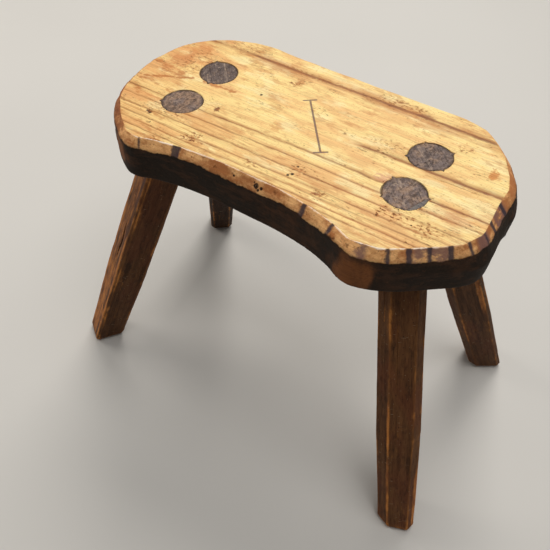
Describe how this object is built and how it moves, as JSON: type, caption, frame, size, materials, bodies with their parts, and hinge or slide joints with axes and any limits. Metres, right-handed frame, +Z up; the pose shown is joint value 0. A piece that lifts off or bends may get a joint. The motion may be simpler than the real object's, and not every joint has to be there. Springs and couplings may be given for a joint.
{
  "type": "four leg stool",
  "caption": "Low rustic plank stool: thick slab seat with a waisted front edge on splayed hewn legs with through tenons.",
  "frame": {"origin": "on the floor, below the middle of the box round the feet", "axes": "+Z up, +X along the seat towards its right end, -Y towards the waisted front edge"},
  "size_m": [0.4818, 0.294, 0.343],
  "materials": {
    "seat_pine": "worn waxed pine, satin",
    "leg_hardwood": "hewn dark hardwood, worn satin",
    "sliver_wood": "weathered grey end grain, matt"
  },
  "bodies": {
    "root": {"seat": "seat_pine", "leg_front_left": "leg_hardwood", "leg_front_right": "leg_hardwood", "leg_back_left": "leg_hardwood", "leg_back_right": "leg_hardwood", "sliver_front_right": "sliver_wood"}
  },
  "joints": []
}
